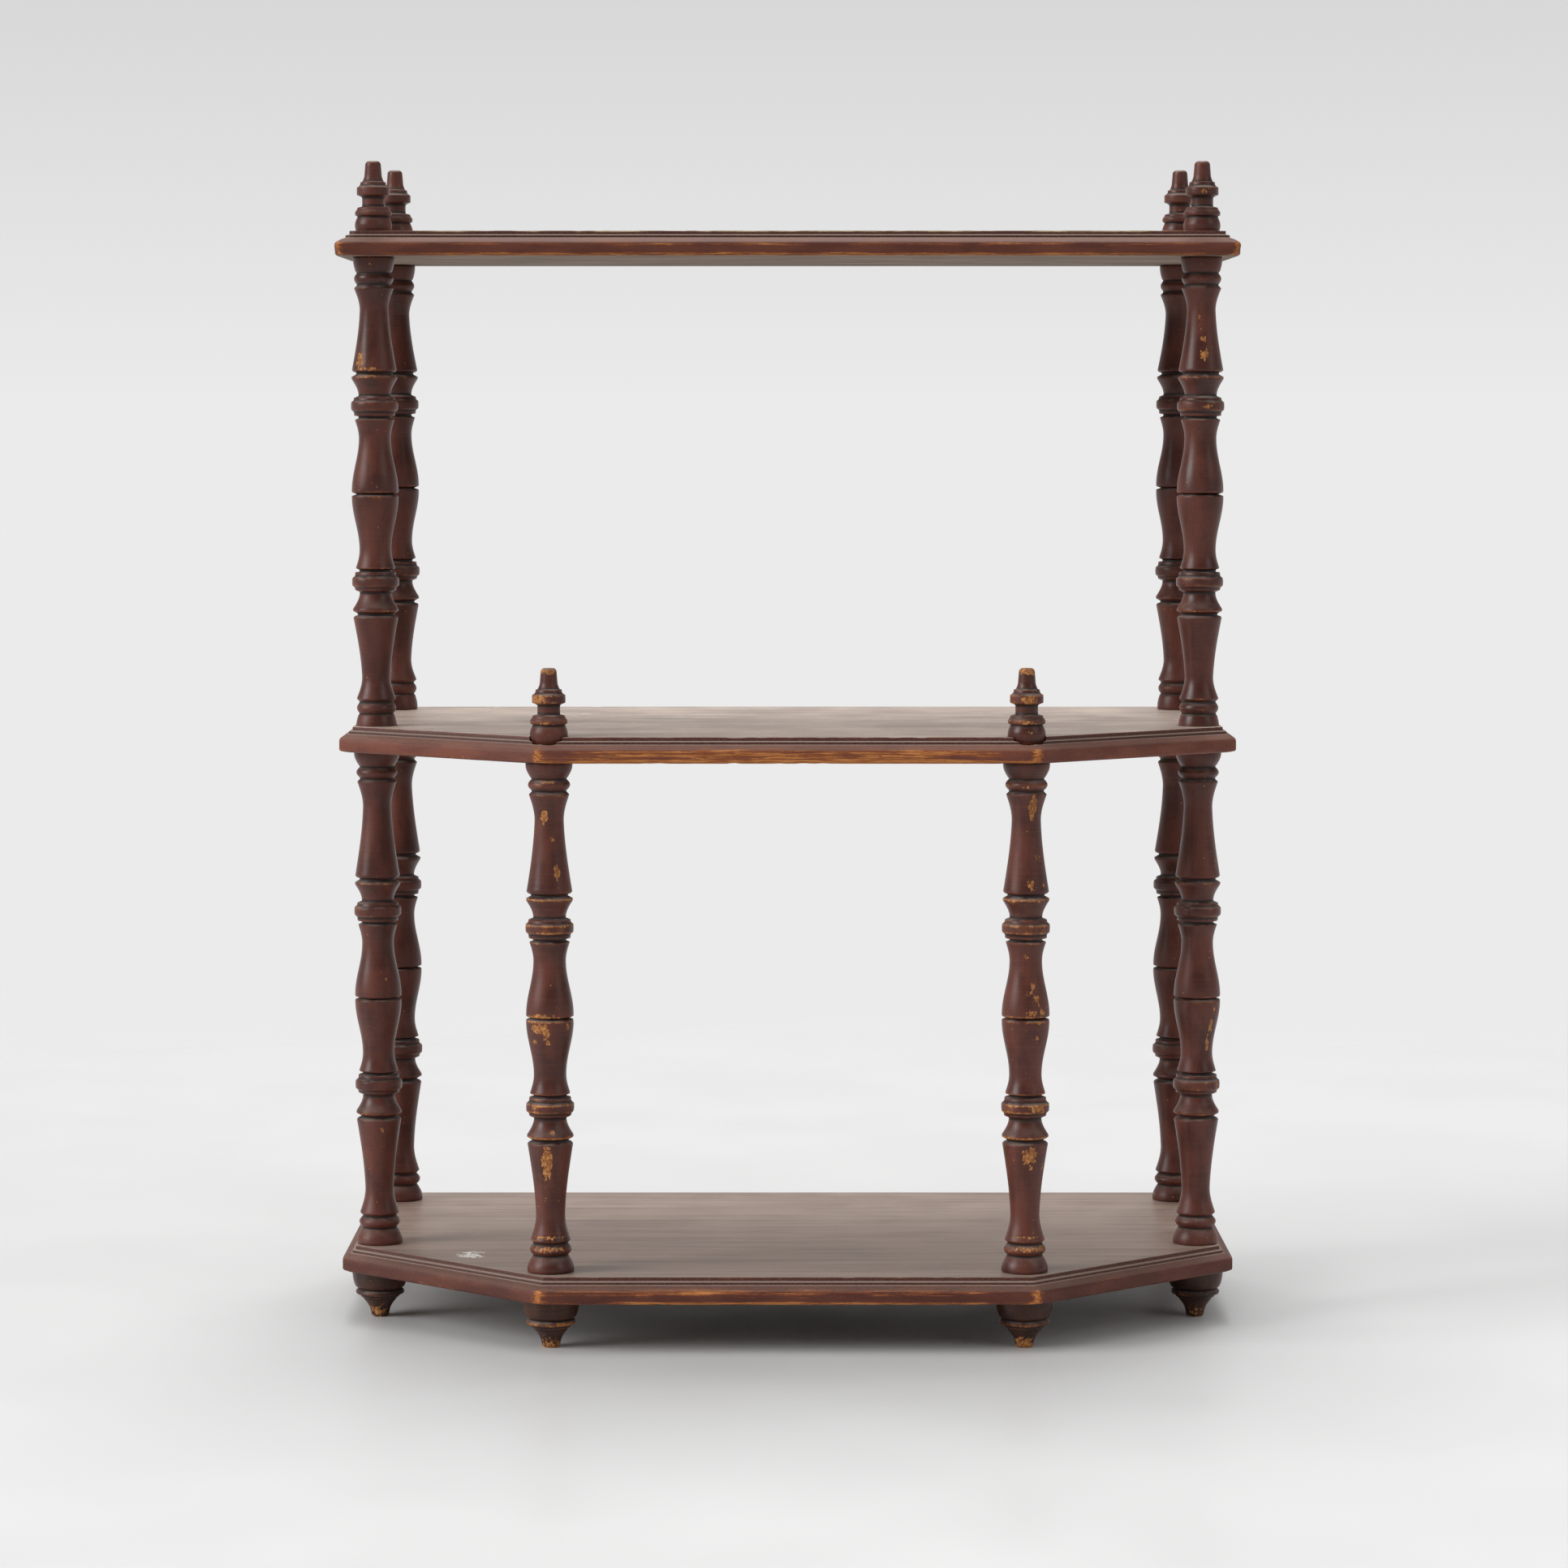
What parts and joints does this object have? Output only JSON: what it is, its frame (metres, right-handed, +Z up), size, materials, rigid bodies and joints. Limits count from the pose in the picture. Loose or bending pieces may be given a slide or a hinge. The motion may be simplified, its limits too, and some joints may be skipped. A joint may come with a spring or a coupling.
{
  "type": "wall shelf",
  "caption": "Tiered wall shelf in dark stained wood: moulded boards with canted corners on turned spindle posts, with finials above and blunt spiked feet below.",
  "frame": {"origin": "on the floor under the feet, in the middle of the width and depth of the bottom board", "axes": "+Z up, +Y to the wall behind, so the canted front faces -Y, +X to the right seen from the front"},
  "size_m": [0.544, 0.322, 0.7063],
  "materials": {
    "board_stain": "worn satin stain, dusty on top",
    "spindle_stain": "worn satin stain",
    "finial_stain": "worn satin stain",
    "foot_stain": "worn satin stain"
  },
  "bodies": {
    "root": {"bottom_shelf": "board_stain", "middle_shelf": "board_stain", "top_shelf": "board_stain", "foot_front_left": "foot_stain", "foot_front_right": "foot_stain", "foot_side_left": "foot_stain", "foot_side_right": "foot_stain", "foot_back_left": "foot_stain", "foot_back_right": "foot_stain", "lower_spindle_front_left": "spindle_stain", "lower_spindle_front_right": "spindle_stain", "lower_spindle_side_left": "spindle_stain", "lower_spindle_side_right": "spindle_stain", "lower_spindle_back_left": "spindle_stain", "lower_spindle_back_right": "spindle_stain", "upper_spindle_side_left": "spindle_stain", "upper_spindle_side_right": "spindle_stain", "upper_spindle_back_left": "spindle_stain", "upper_spindle_back_right": "spindle_stain", "finial_front_left": "finial_stain", "finial_front_right": "finial_stain", "finial_side_left": "finial_stain", "finial_side_right": "finial_stain", "finial_back_left": "finial_stain", "finial_back_right": "finial_stain"}
  },
  "joints": []
}
